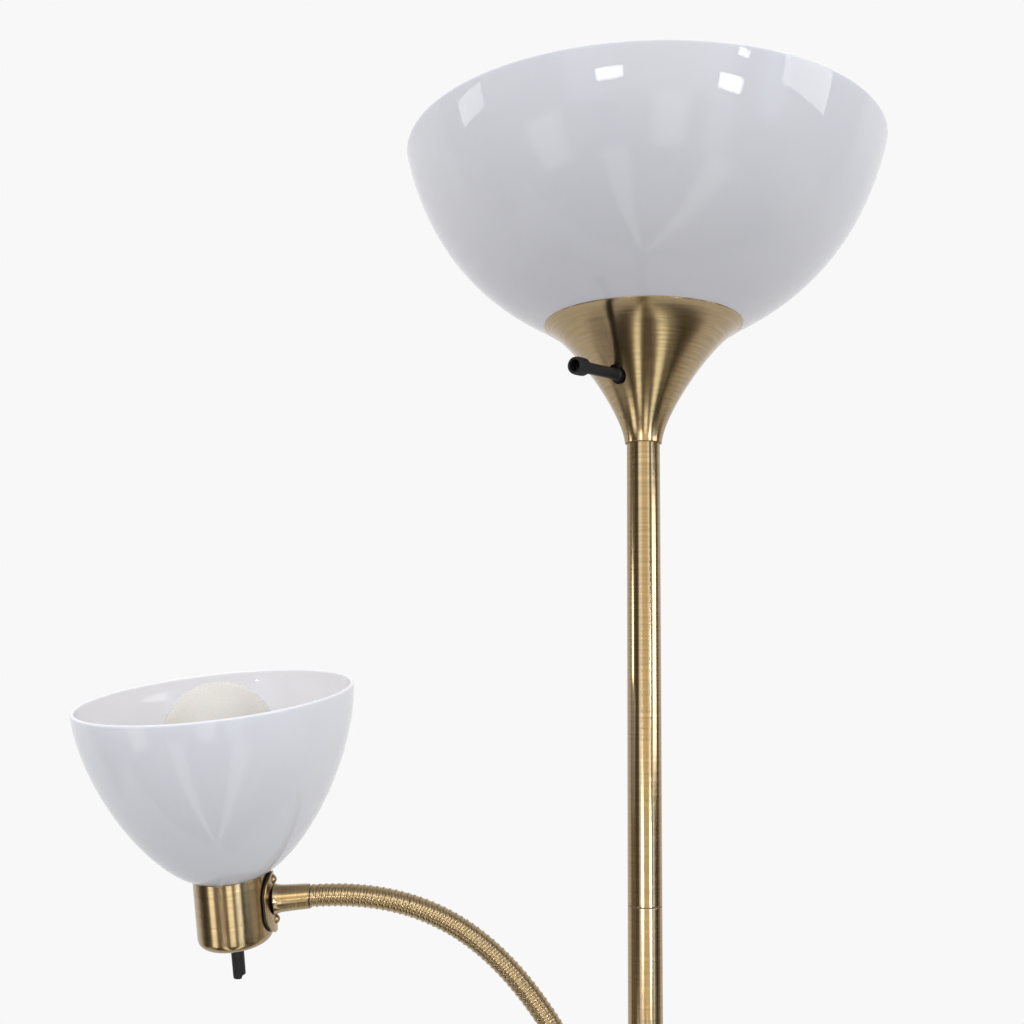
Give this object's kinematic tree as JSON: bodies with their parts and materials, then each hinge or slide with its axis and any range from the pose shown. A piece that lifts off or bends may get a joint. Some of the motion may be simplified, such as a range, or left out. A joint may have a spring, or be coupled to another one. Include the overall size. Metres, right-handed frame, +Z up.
{
  "type": "torchiere floor lamp",
  "caption": "Floor lamp with an upward bowl shade on a slim pole and a smaller reading light on a bendable gooseneck arm, standing on a weighted round base.",
  "frame": {"origin": "centre of the base's underside, on the pole's axis", "axes": "+Z up the pole, -X towards the reading arm, -Y the front of the lamp"},
  "size_m": [0.4717, 0.293, 1.8164],
  "materials": {
    "antique_brass": "steel plated in antique brass, finely brushed",
    "opal_plastic": "glossy opal white",
    "black_plastic": "moulded satin black",
    "black_rubber": "matt foam rubber",
    "zinc_steel": "zinc plated",
    "iron_weight": "raw casting, painted black",
    "bulb_glass": "frosted soft white",
    "bulb_cap": "plain",
    "porcelain": "glazed",
    "lead_sheath": "clear gold PVC"
  },
  "bodies": {
    "stand": {"floor_pad": "black_rubber", "base_weight": "iron_weight", "base_cover": "antique_brass", "cord_bush": "black_plastic", "base_washer": "zinc_steel", "base_nut": "zinc_steel", "base_stud": "zinc_steel", "pole_foot_ring": "antique_brass", "pole_foot_insert": "zinc_steel", "pole_section_1": "antique_brass", "pole_section_2": "antique_brass", "pole_section_3": "antique_brass", "pole_section_4": "antique_brass", "pole_section_5": "antique_brass", "pole_coupling_1": "zinc_steel", "pole_coupling_2": "zinc_steel", "pole_coupling_3": "zinc_steel", "arm_collar": "antique_brass", "pole_top_plug": "zinc_steel", "pole_lead": "lead_sheath", "cone_seat": "zinc_steel", "seat_nut": "zinc_steel", "socket_nipple": "zinc_steel", "cone_shell": "antique_brass", "upper_socket": "porcelain", "upper_screw_shell": "bulb_cap", "upper_contact": "bulb_cap", "upper_shade": "opal_plastic", "upper_shade_ring": "opal_plastic", "upper_bulb_glass": "bulb_glass", "upper_bulb_cap": "bulb_cap"},
    "main_switch": {"main_switch_shaft": "black_plastic", "main_switch_cap": "black_plastic"},
    "gooseneck_1": {"gooseneck_link_1": "antique_brass"},
    "gooseneck_2": {"gooseneck_link_2": "antique_brass"},
    "gooseneck_3": {"gooseneck_link_3": "antique_brass"},
    "gooseneck_4": {"gooseneck_link_4": "antique_brass"},
    "gooseneck_5": {"gooseneck_link_5": "antique_brass"},
    "gooseneck_6": {"gooseneck_link_6": "antique_brass"},
    "gooseneck_7": {"gooseneck_link_7": "antique_brass"},
    "reading_head": {"arm_horn": "antique_brass", "horn_nipple": "zinc_steel", "horn_nut": "zinc_steel", "saddle_plate": "antique_brass", "saddle_gasket": "black_rubber", "plate_screw_upper": "antique_brass", "plate_screw_lower": "antique_brass", "reading_cup": "antique_brass", "reading_socket": "porcelain", "reading_screw_shell": "bulb_cap", "reading_contact": "bulb_cap", "reading_shade": "opal_plastic", "reading_shade_ring": "opal_plastic", "reading_bulb_glass": "bulb_glass", "reading_bulb_cap": "bulb_cap"},
    "reading_switch": {"reading_switch_key": "black_plastic"}
  },
  "joints": [
    {"name": "arm_sway_low", "type": "hinge", "parent": "stand", "child": "gooseneck_1", "pos_m": [-0.01878, 0, 1.24032], "axis": [0.8795, 0, 0.476], "range_deg": [-18, 18]},
    {"name": "arm_lift_low", "type": "hinge", "parent": "gooseneck_1", "child": "gooseneck_2", "pos_m": [-0.03403, 0, 1.26849], "axis": [0, 1, 0], "range_deg": [-22, 10]},
    {"name": "arm_sway_low_follow", "type": "hinge", "parent": "gooseneck_2", "child": "gooseneck_3", "pos_m": [-0.05079, 0, 1.29636], "axis": [0.8305, 0, 0.557], "range_deg": [-18, 18]},
    {"name": "arm_lift_low_follow", "type": "hinge", "parent": "gooseneck_3", "child": "gooseneck_4", "pos_m": [-0.0699, 0, 1.32202], "axis": [0, 1, 0], "range_deg": [-22, 10]},
    {"name": "arm_sway_high", "type": "hinge", "parent": "gooseneck_4", "child": "gooseneck_5", "pos_m": [-0.09302, 0, 1.34431], "axis": [0.6064, 0, 0.7951], "range_deg": [-20, 20]},
    {"name": "arm_lift_high", "type": "hinge", "parent": "gooseneck_5", "child": "gooseneck_6", "pos_m": [-0.12074, 0, 1.36078], "axis": [0, 1, 0], "range_deg": [-30, 10]},
    {"name": "arm_sway_high_follow", "type": "hinge", "parent": "gooseneck_6", "child": "gooseneck_7", "pos_m": [-0.1518, 0, 1.3696], "axis": [0.1649, 0, 0.9863], "range_deg": [-20, 20]},
    {"name": "arm_lift_high_follow", "type": "hinge", "parent": "gooseneck_7", "child": "reading_head", "pos_m": [-0.18403, 0, 1.37136], "axis": [0, 1, 0], "range_deg": [-30, 10]},
    {"name": "main_switch_turn", "type": "hinge", "parent": "stand", "child": "main_switch", "pos_m": [-0.01819, -0.02168, 1.6743], "axis": [-0.641, -0.7639, -0.075], "continuous": true},
    {"name": "reading_switch_turn", "type": "hinge", "parent": "reading_head", "child": "reading_switch", "pos_m": [-0.23444, 0.00379, 1.3444], "axis": [-0.0877, -0.1668, 0.9821], "continuous": true}
  ],
  "couplings": [
    {"joint": "arm_sway_low_follow", "follows": "arm_sway_low", "ratio": 1},
    {"joint": "arm_lift_low_follow", "follows": "arm_lift_low", "ratio": 1},
    {"joint": "arm_sway_high_follow", "follows": "arm_sway_high", "ratio": 1},
    {"joint": "arm_lift_high_follow", "follows": "arm_lift_high", "ratio": 1}
  ]
}
